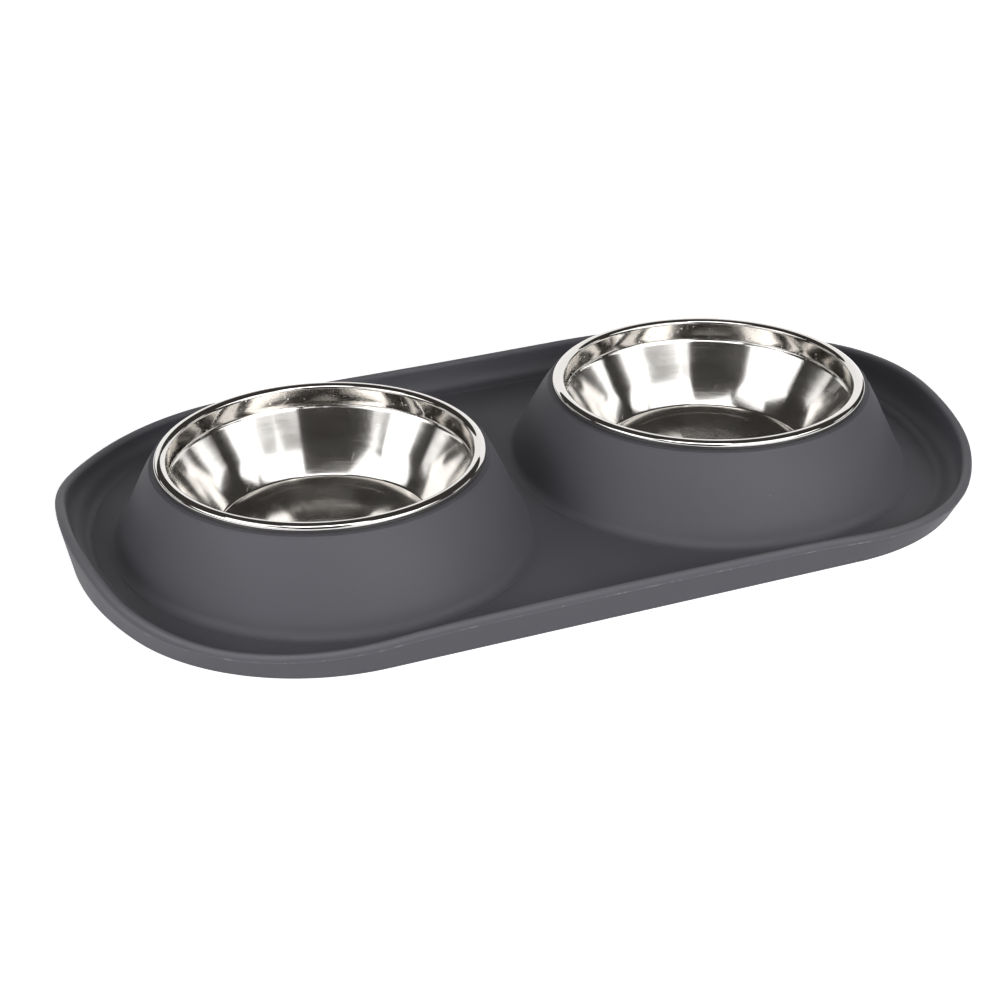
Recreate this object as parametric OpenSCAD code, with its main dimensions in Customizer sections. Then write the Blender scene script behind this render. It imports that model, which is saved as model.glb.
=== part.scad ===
// Double pet bowl: two pressed steel bowls hang by their rolled rims in the
// domes of a one-piece silicone base, whose raised wavy edge catches spills.
// Millimetres. The origin is on the table, midway between the bowls.
// X runs along the base, Z is up.

/* [Bowls] */
// Outer diameter of the rolled rim of a bowl
rim_od = 160; // [120:1:220]
// Width of the rolled rim, seen from above
rim_w = 6; // [4:0.1:9]
// Height of the rolled rim
rim_h = 3.9; // [3:0.1:6]
// Height of the arched top of the rolled rim
rim_arch_h = 1.9; // [1.2:0.1:2.6]
// Thickness of the sheet steel
steel_t = 0.8; // [0.5:0.1:1.1]
// Height of a bowl, from its underside to the top of its rim
bowl_h = 41.9; // [32:0.1:44]
// Depth of the crease below the top of the rim
crease_depth = 11; // [8:0.1:16]
// Width of the crease that ends the straight collar
crease_w = 0.7; // [0.3:0.1:1.5]
// Height of the crease that ends the straight collar
crease_h = 0.9; // [0.4:0.1:2]
// How far the straight upper part of the wall comes in, one side
wall_run = 10.4; // [7:0.1:13]
// Height at which the wall starts to curve, as a share of the way from floor to crease
wall_curve_share = 0.45; // [0.3:0.01:0.7]
// Radius of the curved lower part of the wall
wall_curve_r = 90; // [70:1:160]
// Inner radius of the bend between the wall and the floor of a bowl
bend_r = 2.5; // [1.5:0.1:5]
// Radius of the pressed ring in the floor of a bowl
ring_r = 43; // [20:0.5:45]
// Width of the sloped edge of the pressed ring
ring_slope_w = 1.6; // [0.8:0.1:3]
// How far the disc inside the pressed ring stands above the floor
ring_rise = 0.6; // [0.2:0.1:1.2]

/* [Seats] */
// Height of the seats for the rims above the table
seat_h = 41.8; // [38:0.1:50]
// Gap between the rolled rim and its seat
seat_gap = 0.2; // [0.1:0.05:0.6]
// Gap between the collar of a bowl and the mouth of its dome, all round
mouth_gap = 0.5; // [0.3:0.1:1.5]
// Width of the seat that shows outside the rolled rim
seat_margin = 2.8; // [1:0.1:6]
// Bevel at the outer edge of the seat
seat_bevel = 0.5; // [0.2:0.1:1]

/* [Domes] */
// How much wider the side of a dome is at the floor than at its seat, one side
dome_spread = 18; // [8:0.5:24]
// Radius of the bulge of the side of a dome, from seat to floor
dome_bulge_r = 88; // [60:1:160]
// Thickness of the wall of a dome
dome_wall = 3; // [2:0.1:4]
// Radius of the fillet at the foot of a dome
foot_fillet_r = 4.5; // [2:0.1:7]
// Height of the fine edge where the fillet meets the floor
foot_edge_h = 0.2; // [0.1:0.05:0.5]
// Gap between the feet of the two domes
foot_gap = 1.2; // [0.5:0.1:40]

/* [Tray] */
// Thickness of the floor of the tray
tray_t = 3; // [2:0.1:4]
// Distance from the foot of a dome to the end of the base, at the table
end_margin = 18; // [14:0.5:60]
// Distance from the foot of a dome to the side of the base, at the table
side_margin = 27.6; // [16:0.1:60]
// Radius of the corners of the base
corner_r = 103; // [75:1:125]
// Radius of the bowed ends of the base
end_r = 185; // [160:1:260]
// Rounding of the bottom edge of the base
edge_r = 0.8; // [0.4:0.1:1.5]

/* [Raised edge] */
// Height of the edge above the table, in the middle of the long sides
edge_side_h = 17.4; // [13:0.1:26]
// Height of the edge above the table, where it dips near the corners
edge_dip_h = 13.6; // [12:0.1:20]
// Height of the edge above the table, in the middle of the ends
edge_end_h = 24.6; // [16:0.1:34]
// Where the level middle stretch stops, as a share of the way from side to end
edge_level_share = 0.25; // [0.1:0.01:0.4]
// Where the edge is lowest, as a share of the way from side to end
edge_dip_share = 0.61; // [0.5:0.01:0.75]
// Radius of the rounded lip on top of the edge
lip_r = 2.6; // [1.8:0.1:3]
// How far the lip leans out past the foot of the wall, on sides and ends
lean = 4; // [1:0.1:8]
// How much further the lip leans out at the corners
corner_lean = 1.7; // [0:0.1:4]
// Distance from the foot of the outer wall in to the soft shoulder
shoulder_in = 8; // [7:0.1:10]
// Distance from the foot of the outer wall in to the flat floor
toe_in = 12; // [11:0.1:13.5]
// Height of the shoulder above the floor, along the sides
shoulder_side_h = 0.6; // [0.3:0.1:1.5]
// Height of the shoulder above the floor, in the middle of the ends
shoulder_end_h = 3.5; // [2:0.1:6]

/* [Hidden] */
// Overrun of every cut past the solid that it cuts
overrun = 2;
// Depth to which a dome is sunk into the floor that it grows from
sink = tray_t / 2;
// Steps in the arches, bends and fillets, and in the long side of a dome
arc_steps = 10;
side_steps = 14;
// Stations of the raised edge from the middle of a side to the middle of an end
edge_steps = 32;
// Steps over the lip, down the inner wall, and from the shoulder to the floor
lip_steps = 6;
wall_steps = 4;
toe_steps = 3;

rim_r = rim_od / 2;
collar_in_r = rim_r - rim_w;
collar_out_r = collar_in_r + steel_t;
mouth_r = collar_out_r + mouth_gap;
rim_foot_h = seat_h + seat_gap;
rim_top_h = rim_foot_h + rim_h;
bowl_foot_h = rim_top_h - bowl_h;
crease_z = rim_top_h - crease_depth;

// The side of a dome is an arc through its seat edge and its widest point
seat_r = rim_r + seat_margin;
bell_top = [seat_r, seat_h - seat_bevel];
bell_low = [seat_r + dome_spread, tray_t];
bell_mid = (bell_top + bell_low) / 2;
bell_chord = bell_top - bell_low;
bell_dir = bell_chord / norm(bell_chord);
bell_drop = sqrt(pow(dome_bulge_r, 2) - pow(norm(bell_chord) / 2, 2));
bell_centre = bell_mid - bell_drop * [bell_dir[1], -bell_dir[0]];

// The fillet at the foot touches that arc and ends just above the floor
fillet_z = tray_t + foot_edge_h + foot_fillet_r;
fillet_x = bell_centre[0]
    + sqrt(pow(dome_bulge_r + foot_fillet_r, 2) - pow(fillet_z - bell_centre[1], 2));
touch_angle = atan2(fillet_z - bell_centre[1], fillet_x - bell_centre[0]);
foot_r = fillet_x;

bowl_spacing = 2 * foot_r + foot_gap;
bowl_x = bowl_spacing / 2;
base_half_l = bowl_x + foot_r + end_margin;
base_half_w = foot_r + side_margin;

// The outline is a straight side, a corner arc and a bowed end arc
end_cx = base_half_l - end_r;
corner_cy = base_half_w - corner_r;
corner_cx = end_cx + sqrt(pow(end_r - corner_r, 2) - pow(corner_cy, 2));
meet_angle = atan2(corner_cy, corner_cx - end_cx);
corner_len = corner_r * (90 - meet_angle) * PI / 180;
end_len = end_r * meet_angle * PI / 180;
quarter_len = corner_cx + corner_len + end_len;

SILICONE = [0.29, 0.29, 0.31];
STEEL = [0.78, 0.78, 0.77];

// Points of an arc about c, from angle a0 to angle a1
function arc(c, r, a0, a1, steps) =
    [for (i = [0 : steps]) c + r * [cos(a0 + (a1 - a0) * i / steps), sin(a0 + (a1 - a0) * i / steps)]];

// Points of the upper half of an ellipse about c, from left to right
function arch(c, rx, ry, steps) =
    [for (i = [0 : steps]) c + [-rx * cos(180 * i / steps), ry * sin(180 * i / steps)]];

// Smooth step from 0 to 1 as t goes from 0 to 1
function ease(t) = (1 - cos(180 * min(1, max(0, t)))) / 2;

// Reversed list
function reversed(v) = [for (i = [len(v) - 1 : -1 : 0]) v[i]];

// Place and outward direction on the outline, s along it from the side's middle
function outline_at(s) =
    s <= corner_cx ? [[s, base_half_w], [0, 1]] :
    s <= corner_cx + corner_len ? on_arc([corner_cx, corner_cy], corner_r,
        90 - (s - corner_cx) * 180 / (PI * corner_r)) :
    on_arc([end_cx, 0], end_r,
        meet_angle - (s - corner_cx - corner_len) * 180 / (PI * end_r));
function on_arc(c, r, a) = [c + r * [cos(a), sin(a)], [cos(a), sin(a)]];

// Height and lean of the raised edge, u from 0 at the side to 1 at the end
function to_dip(u) = ease((u - edge_level_share) / (edge_dip_share - edge_level_share));
function to_end(u) = ease((u - edge_dip_share) / (1 - edge_dip_share));
function edge_h(u) = edge_side_h
    + (edge_dip_h - edge_side_h) * to_dip(u)
    + (edge_end_h - edge_dip_h) * to_end(u);
function edge_lean(u) = lean + corner_lean * pow(sin(180 * u), 2);
function shoulder_h(u) = tray_t + shoulder_side_h
    + (shoulder_end_h - shoulder_side_h) * to_end(u);

// Section of the edge at u, from the table over the lip down to the floor,
// as [distance out from the outline, height]
function edge_section(u) =
    let (lip_c = [edge_lean(u) - lip_r, edge_h(u) - lip_r])
    let (wall_top = lip_c - [lip_r, 0])
    let (shoulder = [-shoulder_in, shoulder_h(u)])
    let (bend = [wall_top[0], shoulder[1]])
    let (toe = [-toe_in, tray_t])
    let (brow = [(shoulder[0] + toe[0]) / 2, shoulder[1]])
    concat(
        [[-edge_r, 0], [0, edge_r]],
        arc(lip_c, lip_r, 0, 180, lip_steps),
        [for (i = [1 : wall_steps]) curve(wall_top, bend, shoulder, i / wall_steps)],
        [for (i = [1 : toe_steps]) curve(shoulder, brow, toe, i / toe_steps)]
    );

// Point of a curve that leaves a towards b and reaches c from b
function curve(a, b, c, t) = pow(1 - t, 2) * a + 2 * t * (1 - t) * b + pow(t, 2) * c;

// The tray with its raised edge: one ring of points for each point of the section
module tray() {
    stations = 4 * edge_steps;
    turned = [[1, 1], [1, -1], [-1, -1], [-1, 1]];
    sections = [for (k = [0 : edge_steps]) edge_section(k / edge_steps)];
    places = [for (k = [0 : edge_steps]) outline_at(quarter_len * k / edge_steps)];
    rings = len(sections[0]);
    points = [
        for (m = [0 : rings - 1], k = [0 : stations - 1])
            let (q = floor(k / edge_steps))
            let (j = k % edge_steps)
            let (i = q % 2 == 0 ? j : edge_steps - j)
            let (p = places[i][0] + places[i][1] * sections[i][m][0])
            [p[0] * turned[q][0], p[1] * turned[q][1], sections[i][m][1]]
    ];
    bands = [
        for (m = [0 : rings - 2], k = [0 : stations - 1])
            let (n = (k + 1) % stations)
            each [
                [m * stations + k, (m + 1) * stations + n, (m + 1) * stations + k],
                [m * stations + k, m * stations + n, (m + 1) * stations + n]
            ]
    ];
    underside = [[for (k = [stations : -1 : 1]) (k + edge_steps) % stations]];
    top = [[for (k = [0 : stations - 1]) (rings - 1) * stations + (k + edge_steps) % stations]];
    polyhedron(points = points, faces = concat(bands, underside, top), convexity = 6);
}

// Solid of a dome, from inside the floor up to the seat
module dome() {
    top_angle = atan2(bell_top[1] - bell_centre[1], bell_top[0] - bell_centre[0]);
    rotate_extrude()
        polygon(concat(
            [[0, tray_t - sink], [foot_r, tray_t - sink]],
            reversed(arc([fillet_x, fillet_z], foot_fillet_r, 180 + touch_angle, 270, arc_steps)),
            arc(bell_centre, dome_bulge_r, touch_angle, top_angle, side_steps),
            [[seat_r - seat_bevel, seat_h], [0, seat_h]]
        ));
}

// Hollow of a dome, open underneath, and its mouth
module dome_hollow() {
    inner_r = dome_bulge_r - dome_wall;
    roof_h = seat_h - dome_wall;
    low_angle = asin(-bell_centre[1] / inner_r);
    roof_angle = asin((roof_h - bell_centre[1]) / inner_r);
    low = bell_centre[0] + inner_r * cos(low_angle);
    rotate_extrude()
        polygon(concat(
            [[0, -overrun], [low, -overrun]],
            arc(bell_centre, inner_r, low_angle, roof_angle, side_steps),
            [[mouth_r, roof_h], [mouth_r, seat_h + overrun], [0, seat_h + overrun]]
        ));
}

// One-piece silicone base
module silicone_base() {
    color(SILICONE)
        difference() {
            union() {
                tray();
                translate([-bowl_x, 0, 0]) dome();
                translate([bowl_x, 0, 0]) dome();
            }
            translate([-bowl_x, 0, 0]) dome_hollow();
            translate([bowl_x, 0, 0]) dome_hollow();
        }
}

// List without its first item
function tail(v) = [for (i = [1 : len(v) - 1]) v[i]];

// Middle of a face of the sheet at the floor, out to the ring's edge
function disc(z) = [[0, z + ring_rise], [ring_r - ring_slope_w, z + ring_rise], [ring_r, z]];

// Half section of a bowl, pressed from one sheet and rolled over at the rim
module bowl_section() {
    floor_in = bowl_foot_h + steel_t;
    wall_top = [collar_in_r - crease_w, crease_z - crease_h];
    curve_top = [wall_top[0] - wall_run, floor_in + wall_curve_share * (wall_top[1] - floor_in)];
    // The curve leaves the straight part smoothly and runs smoothly into the bend
    slope = atan2(wall_run, wall_top[1] - curve_top[1]);
    curve_c = curve_top - wall_curve_r * [cos(slope), -sin(slope)];
    inside_r = wall_curve_r - bend_r;
    join = asin((curve_c[1] - floor_in - bend_r) / inside_r);
    bend_c = curve_c + inside_r * [cos(join), -sin(join)];
    thick = steel_t * [cos(slope), -sin(slope)];
    arch_c = [rim_r - rim_w / 2, rim_top_h - rim_arch_h];
    inner = concat(
        disc(floor_in),
        arc(bend_c, bend_r, -90, -join, arc_steps),
        tail(arc(curve_c, wall_curve_r, -join, -slope, arc_steps)),
        [wall_top, [collar_in_r, crease_z]],
        arch(arch_c, rim_w / 2, rim_arch_h, arc_steps)
    );
    outer = concat(
        disc(bowl_foot_h),
        arc(bend_c, bend_r + steel_t, -90, -join, arc_steps),
        tail(arc(curve_c, wall_curve_r + steel_t, -join, -slope, arc_steps)),
        [wall_top + thick, [collar_out_r, crease_z]],
        arch(arch_c, rim_w / 2 - steel_t, rim_arch_h - steel_t, arc_steps),
        [[rim_r - steel_t, rim_foot_h], [rim_r, rim_foot_h]]
    );
    polygon(concat(inner, reversed(outer)));
}

module bowl() {
    color(STEEL)
        rotate_extrude()
            bowl_section();
}

// Bowl in the left dome
module left_bowl() {
    translate([-bowl_x, 0, 0]) bowl();
}

// Bowl in the right dome
module right_bowl() {
    translate([bowl_x, 0, 0]) bowl();
}

silicone_base();
left_bowl();
right_bowl();
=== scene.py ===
"""Looks of the double pet bowl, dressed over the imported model.

Every mesh is in metres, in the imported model's frame: the origin is on the
table, midway between the bowls, X runs along the base and Z is up. Sizes in
the classes that build the pieces are in millimetres and are turned to metres
as meshes are made; the finishes and the studio are in metres.
"""

import logging
import math
from dataclasses import dataclass
from enum import Enum
from typing import List, Sequence, Tuple

import bmesh
import bpy
from bpy.types import Material, Node, NodeSocket, NodeTree, Object
from mathutils import Matrix, Vector


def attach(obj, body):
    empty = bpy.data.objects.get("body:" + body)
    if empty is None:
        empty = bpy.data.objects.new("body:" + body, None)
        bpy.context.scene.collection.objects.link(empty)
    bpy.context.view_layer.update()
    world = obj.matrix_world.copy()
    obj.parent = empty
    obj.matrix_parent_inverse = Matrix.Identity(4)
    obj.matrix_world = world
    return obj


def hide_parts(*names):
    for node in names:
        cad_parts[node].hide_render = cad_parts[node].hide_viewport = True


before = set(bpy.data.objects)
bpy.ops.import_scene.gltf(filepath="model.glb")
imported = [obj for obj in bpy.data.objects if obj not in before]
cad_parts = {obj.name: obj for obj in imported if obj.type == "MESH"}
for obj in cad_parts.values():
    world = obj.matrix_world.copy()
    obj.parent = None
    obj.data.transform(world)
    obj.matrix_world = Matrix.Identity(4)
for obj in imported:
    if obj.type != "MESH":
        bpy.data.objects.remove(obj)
LOG = logging.getLogger("pet_bowl")
MM = 0.001
BOWL_X = 104.968
LEVEL_TOLERANCE = 1e-6
MERGE_DISTANCE = 1e-7
FAR_OVER_LINE = 1.0
Point = Tuple[float, float]
Triple = Tuple[float, float, float]


class Side(Enum):
    """The two places for a bowl, with the sign of their X."""

    LEFT = -1
    RIGHT = 1


class Slot(Enum):
    """Material slots, by name."""

    SILICONE = "silicone"
    STEEL = "steel"


# ---- modelling


def deselect_all() -> None:
    """Leaves edit mode and deselects every object."""
    if bpy.context.object is not None and bpy.context.object.mode != "OBJECT":
        bpy.ops.object.mode_set(mode="OBJECT")
    bpy.ops.object.select_all(action="DESELECT")


def open_mesh(piece: Object) -> None:
    """Takes one piece into edit mode.

    Args:
        piece: the piece to edit.
    """
    deselect_all()
    piece.select_set(True)
    bpy.context.view_layer.objects.active = piece
    bpy.ops.object.mode_set(mode="EDIT")


def close_mesh() -> None:
    """Goes back to object mode."""
    bpy.ops.object.mode_set(mode="OBJECT")


def select_mesh() -> None:
    """Selects all of the open mesh."""
    bpy.ops.mesh.select_all(action="SELECT")


def between(a: Point, b: Point, share: float) -> Point:
    """Point at a share of the way from a to b."""
    return a[0] + (b[0] - a[0]) * share, a[1] + (b[1] - a[1]) * share


def arc(centre: Point, radius: float, start: float, stop: float, steps: int) -> List[Point]:
    """Points of an arc.

    Args:
        centre: its centre.
        radius: its radius.
        start: first angle, in degrees.
        stop: last angle, in degrees.
        steps: number of chords.

    Returns:
        The points, both ends included.
    """
    turn = [math.radians(start + (stop - start) * i / steps) for i in range(steps + 1)]
    return [(centre[0] + radius * math.cos(t), centre[1] + radius * math.sin(t)) for t in turn]


def bend(a: Point, b: Point, c: Point, steps: int) -> List[Point]:
    """Curve that leaves a towards b and reaches c from b.

    Args:
        a: first point, left out of the result.
        b: the corner that the curve rounds.
        c: last point.
        steps: number of chords.

    Returns:
        The points after a.
    """
    out = []
    for i in range(1, steps + 1):
        t = i / steps
        out.append(tuple((1 - t) ** 2 * a[k] + 2 * t * (1 - t) * b[k] + t * t * c[k]
                         for k in (0, 1)))
    return out


def lofted(name: str, rings: Sequence[Sequence[Vector]]) -> Object:
    """Extrudes a closed loop from ring to ring.

    Args:
        name: name of the new piece.
        rings: places of the loop's points, ring after ring.

    Returns:
        The piece, open at its first and last ring. Its attribute "station"
        numbers the points of each ring.
    """
    deselect_all()
    bpy.ops.mesh.primitive_circle_add(vertices=len(rings[0]), radius=1.0, fill_type="NOTHING")
    piece = bpy.context.active_object
    piece.name = name
    open_mesh(piece)
    select_mesh()
    mesh = bmesh.from_edit_mesh(piece.data)
    station = mesh.verts.layers.int.new("station")
    for v in mesh.verts:
        v[station] = v.index
        v.co = rings[0][v.index]
    bmesh.update_edit_mesh(piece.data)
    for ring in rings[1:]:
        bpy.ops.mesh.extrude_region_move()
        mesh = bmesh.from_edit_mesh(piece.data)
        station = mesh.verts.layers.int["station"]
        for v in mesh.verts:
            if v.select:
                v.co = ring[v[station]]
        bmesh.update_edit_mesh(piece.data)
    close_mesh()
    return piece


def spun(name: str, profile: Sequence[Point], centre_x: float, steps: int) -> Object:
    """Spins a profile about an upright axis.

    Args:
        name: name of the new piece.
        profile: distance from the axis and height, in millimetres.
        centre_x: X of the axis, in millimetres.
        steps: number of steps all round.

    Returns:
        The piece, with its doubles merged.
    """
    deselect_all()
    bpy.ops.mesh.primitive_plane_add(size=MM)
    piece = bpy.context.active_object
    piece.name = name
    open_mesh(piece)
    select_mesh()
    bpy.ops.mesh.merge(type="CENTER")
    select_mesh()
    r0, z0 = profile[0]
    bpy.ops.transform.translate(value=((centre_x + r0) * MM, 0, z0 * MM))
    for (r, z) in profile[1:]:
        step = ((r - r0) * MM, 0, (z - z0) * MM)
        bpy.ops.mesh.extrude_region_move(TRANSFORM_OT_translate={"value": step})
        r0, z0 = r, z
    select_mesh()
    bpy.ops.mesh.spin(steps=steps, angle=2 * math.pi, center=(centre_x * MM, 0, 0), axis=(0, 0, 1))
    select_mesh()
    bpy.ops.mesh.remove_doubles(threshold=MERGE_DISTANCE)
    bpy.ops.mesh.normals_make_consistent(inside=False)
    close_mesh()
    return piece


def smooth(piece: Object, degrees: float) -> None:
    """Shades a piece smooth up to an angle between faces.

    Args:
        piece: the piece.
        degrees: sharper edges than this stay sharp.
    """
    deselect_all()
    piece.select_set(True)
    bpy.context.view_layer.objects.active = piece
    bpy.ops.object.shade_smooth_by_angle(angle=math.radians(degrees))


# ---- silicone base


@dataclass(frozen=True)
class Outline:
    """Outline of the base at the table: straight sides, corner arcs, bowed ends."""

    half_length: float = 227.335
    half_width: float = 131.968
    corner_r: float = 103.0
    end_r: float = 185.0

    def quarter(self) -> Tuple[float, float, float, float]:
        """Measures one quarter of the outline.

        Returns:
            Length of the straight, of the corner arc and of the end arc, and
            the angle at which the two arcs meet.
        """
        end_cx = self.half_length - self.end_r
        corner_cy = self.half_width - self.corner_r
        corner_cx = end_cx + math.sqrt((self.end_r - self.corner_r) ** 2 - corner_cy ** 2)
        meet = math.atan2(corner_cy, corner_cx - end_cx)
        return corner_cx, self.corner_r * (math.pi / 2 - meet), self.end_r * meet, meet

    def at(self, share: float) -> Tuple[Vector, Vector]:
        """Place and outward direction on the first quarter.

        Args:
            share: 0 in the middle of the side, 1 in the middle of the end.

        Returns:
            The place in millimetres and the unit direction.
        """
        straight, corner, end, meet = self.quarter()
        s = share * (straight + corner + end)
        if s <= straight:
            return Vector((s, self.half_width)), Vector((0, 1))
        if s <= straight + corner:
            t = math.pi / 2 - (s - straight) / self.corner_r
            c, r = Vector((straight, self.half_width - self.corner_r)), self.corner_r
        else:
            t = meet - (s - straight - corner) / self.end_r
            c, r = Vector((self.half_length - self.end_r, 0)), self.end_r
        out = Vector((math.cos(t), math.sin(t)))
        return c + r * out, out


@dataclass(frozen=True)
class WavyEdge:
    """Raised edge of the base, whose height and lean change on the way round.

    In every method u is the share of the way from the side's middle to the
    end's middle, along the outline.
    """

    side_h: float = 17.4
    dip_h: float = 13.6
    end_h: float = 24.6
    level_share: float = 0.25
    dip_share: float = 0.61
    lip_r: float = 2.6
    lean: float = 4.0
    corner_lean: float = 1.64
    end_lean: float = 1.3
    foot_r: float = 0.4
    foot_land: float = 1.5
    shoulder_in: float = 8.0
    shoulder_side_h: float = 0.6
    shoulder_end_h: float = 3.5
    toe_in: float = 12.0
    toe_land: float = 0.8
    floor_h: float = 3.0
    line_h: float = 14.6
    line_dip_h: float = 11.0
    foot_steps: int = 5
    wall_steps: int = 8
    lip_steps: int = 18
    inner_steps: int = 12
    toe_steps: int = 8

    @staticmethod
    def ease(t: float) -> float:
        """Smooth step from 0 to 1."""
        return (1 - math.cos(math.pi * min(1.0, max(0.0, t)))) / 2

    def to_dip(self, u: float) -> float:
        """How far u is on the way from the level side to the dip."""
        return self.ease((u - self.level_share) / (self.dip_share - self.level_share))

    def to_end(self, u: float) -> float:
        """How far u is on the way from the dip to the end."""
        return self.ease((u - self.dip_share) / (1 - self.dip_share))

    def height(self, u: float) -> float:
        """Height of the top of the lip at u."""
        return (self.side_h + (self.dip_h - self.side_h) * self.to_dip(u)
                + (self.end_h - self.dip_h) * self.to_end(u))

    def line_height(self, u: float) -> float:
        """Height of the mould's parting line at u."""
        return self.line_h + (self.line_dip_h - self.line_h) * (self.to_dip(u) - self.to_end(u))

    def lip_start(self) -> int:
        """Number of the lip's first point in a section."""
        return 1 + self.foot_steps + self.wall_steps

    def section(self, u: float) -> List[Point]:
        """Section of the edge, from the underside over the lip to the floor.

        Args:
            u: share of the way from the side's middle to the end's middle.

        Returns:
            Distance out from the outline and height, point after point.
        """
        out = self.lean + self.corner_lean * math.sin(math.pi * u) ** 2
        out += self.end_lean * math.sin(math.pi * self.to_end(u)) ** 2
        lip = (out - self.lip_r, self.height(u) - self.lip_r)
        shoulder = (-self.shoulder_in, self.floor_h + self.shoulder_side_h
                    + (self.shoulder_end_h - self.shoulder_side_h) * self.to_end(u))
        toe = (-self.toe_in, self.floor_h)
        top = (lip[0] - self.lip_r, lip[1])
        foot, brow = (0.0, self.foot_r), (out, lip[1])
        points = [(-self.foot_r - self.foot_land, 0.0)]
        points += arc((-self.foot_r, self.foot_r), self.foot_r, -90, 0, self.foot_steps)
        points += [between(foot, brow, i / self.wall_steps) for i in range(1, self.wall_steps)]
        points += arc(lip, self.lip_r, 0, 180, self.lip_steps)
        points += bend(top, (top[0], shoulder[1]), shoulder, self.inner_steps)
        points += bend(shoulder, ((shoulder[0] + toe[0]) / 2, shoulder[1]), toe, self.toe_steps)
        points.append((toe[0] - self.toe_land, self.floor_h))
        return points


@dataclass(frozen=True)
class Dome:
    """Dome that holds a bowl, hollow and open underneath."""

    seat_r: float = 82.8
    seat_h: float = 41.8
    seat_land: float = 0.4
    bevel: float = 0.5
    mouth_r: float = 75.3
    mouth_round: float = 0.6
    mouth_drop: float = 0.4
    spread: float = 18.0
    bulge_r: float = 88.0
    wall: float = 3.0
    fillet_r: float = 4.5
    foot_edge_h: float = 0.2
    foot_land: float = 0.5
    floor_h: float = 3.0
    stretch: float = 0.073
    pinch: float = 0.030
    side_steps: int = 30
    fillet_steps: int = 12
    bevel_steps: int = 4
    mouth_steps: int = 3

    def oval(self, z: float) -> Tuple[float, float]:
        """Scales along X and Y that make the round side oval.

        Args:
            z: height, in millimetres.

        Returns:
            Scale along X, least half way up, and along Y, most at the floor.
        """
        down = min(1.0, max(0.0, (self.seat_h - z) / (self.seat_h - self.floor_h)))
        return 1.0 - self.pinch * math.sin(math.pi * down), 1.0 + self.stretch * down

    def centre(self) -> Point:
        """Finds the centre of the bulging side's arc.

        Returns:
            Distance from the axis and height.
        """
        top = (self.seat_r, self.seat_h - self.bevel)
        low = (self.seat_r + self.spread, self.floor_h)
        mid = ((top[0] + low[0]) / 2, (top[1] + low[1]) / 2)
        chord = (top[0] - low[0], top[1] - low[1])
        length = math.hypot(*chord)
        drop = math.sqrt(self.bulge_r ** 2 - (length / 2) ** 2)
        return mid[0] - drop * chord[1] / length, mid[1] + drop * chord[0] / length

    def profile(self) -> List[Point]:
        """Profile from the tray's floor over the seat and down the hollow to the table.

        Returns:
            Distance from the axis and height, point after point.
        """
        c = self.centre()
        fillet_z = self.floor_h + self.foot_edge_h + self.fillet_r
        fillet_x = c[0] + math.sqrt((self.bulge_r + self.fillet_r) ** 2 - (fillet_z - c[1]) ** 2)
        touch = math.degrees(math.atan2(fillet_z - c[1], fillet_x - c[0]))
        top = math.degrees(math.atan2(self.seat_h - self.bevel - c[1], self.seat_r - c[0]))
        inner = self.bulge_r - self.wall
        roof = self.seat_h - self.wall
        low = math.degrees(math.asin(-c[1] / inner))
        under = math.degrees(math.asin((roof - c[1]) / inner))
        seat = (self.seat_r - self.bevel, self.seat_h)
        mouth = (self.mouth_r + self.mouth_round, self.seat_h)
        points = [(fillet_x + self.foot_land, self.floor_h), (fillet_x, self.floor_h)]
        points += arc((fillet_x, fillet_z), self.fillet_r, 270, 180 + touch, self.fillet_steps)
        points += arc(c, self.bulge_r, touch, top, self.side_steps)[1:]
        points += bend(points[-1], (self.seat_r, self.seat_h), seat, self.bevel_steps)
        points += [(seat[0] - self.seat_land, self.seat_h), mouth]
        points += bend(mouth, (self.mouth_r, self.seat_h),
                       (self.mouth_r, self.seat_h - self.mouth_drop), self.mouth_steps)
        points.append((self.mouth_r, roof))
        points += arc(c, inner, under, low, self.side_steps)
        points.append((points[-1][0] + self.foot_land, 0.0))
        return points


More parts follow.
